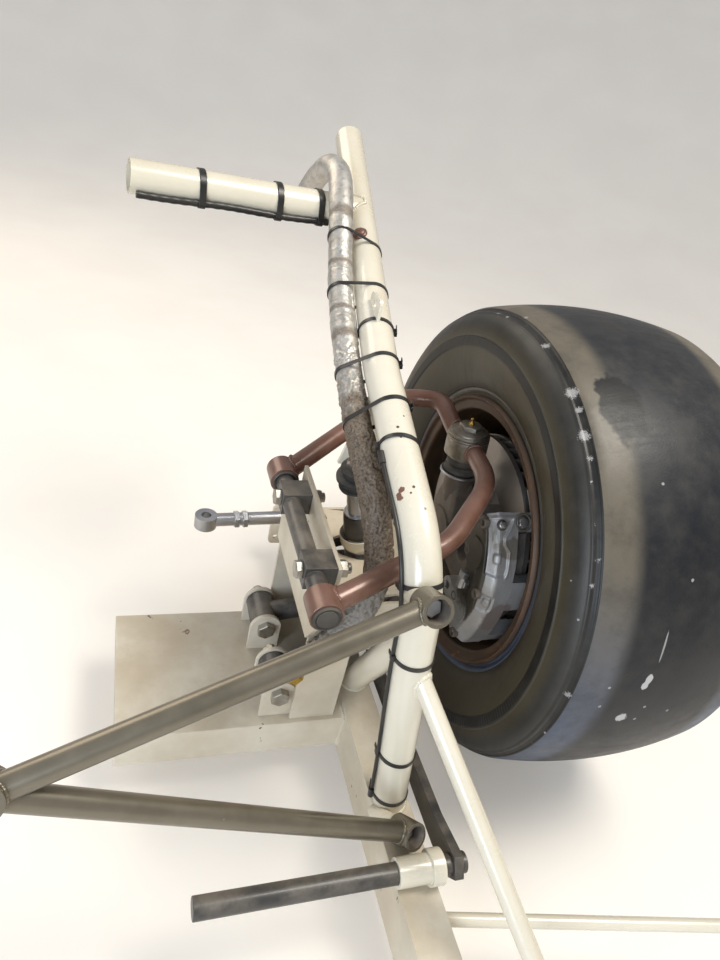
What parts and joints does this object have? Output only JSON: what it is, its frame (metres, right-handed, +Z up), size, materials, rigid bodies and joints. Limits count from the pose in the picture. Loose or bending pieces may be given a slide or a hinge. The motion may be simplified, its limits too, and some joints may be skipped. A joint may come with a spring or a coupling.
{
  "type": "stock car front wheel corner",
  "caption": "Front left wheel corner of a stock car: frame rail and tubes, double arm suspension with coil spring and shock, disc brake, steel wheel and slick tyre, steers and rolls.",
  "frame": {"origin": "centre of the four bolt holes on the rear face of the frame rail's flange, where the front clip bolts to the rest of the frame", "axes": "+Y towards the car's rear, out of the flange; +X outboard to the car's left, along the axle; +Z up"},
  "size_m": [0.916, 1.0473, 0.8237],
  "materials": {
    "frame_paint": "cream white gloss paint, chipped and stained",
    "rail_paint": "dusty cream paint",
    "brace_paint": "satin gunmetal paint",
    "arm_paint": "copper brown paint",
    "dark_paint": "satin black paint",
    "spring_paint": "dusty grey paint",
    "bright_steel": "zinc plated",
    "joint_steel": "worn bare steel",
    "bolt_steel": "dull plated",
    "cast_steel": "rough cast",
    "cast_aluminium": "dusty cast",
    "turned_aluminium": "turned",
    "rotor_iron": "ground, rust edged",
    "pad_lining": "friction lining on a steel plate",
    "wheel_paint": "rust brown, dusty",
    "tyre_rubber": "bald slick, scuffed and dusty",
    "tie_plastic": "nylon",
    "boot_rubber": "soft",
    "heat_sleeve": "aluminised glass cloth, grimy",
    "gold_aluminium": "gold anodised"
  },
  "bodies": {
    "frame": {"main_tube": "frame_paint", "cross_tube": "frame_paint", "rail_brace": "frame_paint", "nose_strut": "frame_paint", "fender_bar": "frame_paint", "brace_bosses": "frame_paint", "shock_bracket": "frame_paint", "sway_bar_sleeve": "frame_paint", "hinge_tab": "frame_paint", "frame_rail": "rail_paint", "cross_member": "rail_paint", "pivot_brackets": "rail_paint", "spring_tower": "rail_paint", "v_brace": "brace_paint", "upper_arm": "arm_paint", "lower_arm": "dark_paint", "sway_bar_arm": "dark_paint", "sway_bar": "dark_paint", "upper_shaft": "dark_paint", "shock_body": "dark_paint", "coil_spring": "spring_paint", "shock_shaft": "bright_steel", "sway_bar_link": "bright_steel", "upper_ball_joint": "joint_steel", "lower_ball_joint": "joint_steel", "lower_pivot_bolts": "bolt_steel", "shaft_bolts": "bolt_steel", "brace_bolts": "bolt_steel", "hose_ties": "tie_plastic", "sleeved_hose": "heat_sleeve", "hose_fittings": "gold_aluminium"},
    "knuckle": {"upright": "cast_steel", "upper_ball_stud": "joint_steel", "upper_boot": "boot_rubber", "lower_ball_stud": "joint_steel", "steering_arm": "cast_steel", "tie_rod_stud": "joint_steel", "caliper": "cast_aluminium", "caliper_bracket": "cast_steel", "brake_pads": "pad_lining", "brake_fitting": "bright_steel"},
    "wheel": {"hub": "turned_aluminium", "grease_cap": "turned_aluminium", "rotor_hat": "turned_aluminium", "brake_rotor": "rotor_iron", "wheel_rim": "wheel_paint", "tyre": "tyre_rubber", "lug_nuts": "bolt_steel"},
    "tie_rod": {"tie_rod": "bright_steel"}
  },
  "joints": [
    {"name": "steer", "type": "hinge", "parent": "frame", "child": "knuckle", "pos_m": [0.135, -0.313, 0.386], "axis": [-0.0502, 0.0772, 0.9958], "range_deg": [-18, 18]},
    {"name": "wheel_spin", "type": "hinge", "parent": "knuckle", "child": "wheel", "pos_m": [0.298, -0.33, 0.25], "axis": [1, 0, 0], "continuous": true},
    {"name": "tie_rod_swing", "type": "hinge", "parent": "knuckle", "child": "tie_rod", "pos_m": [0.135, -0.172, 0.158], "axis": [-0.0502, 0.0772, 0.9958], "range_deg": [-18, 18]}
  ],
  "couplings": [
    {"joint": "tie_rod_swing", "follows": "steer", "ratio": -1}
  ]
}
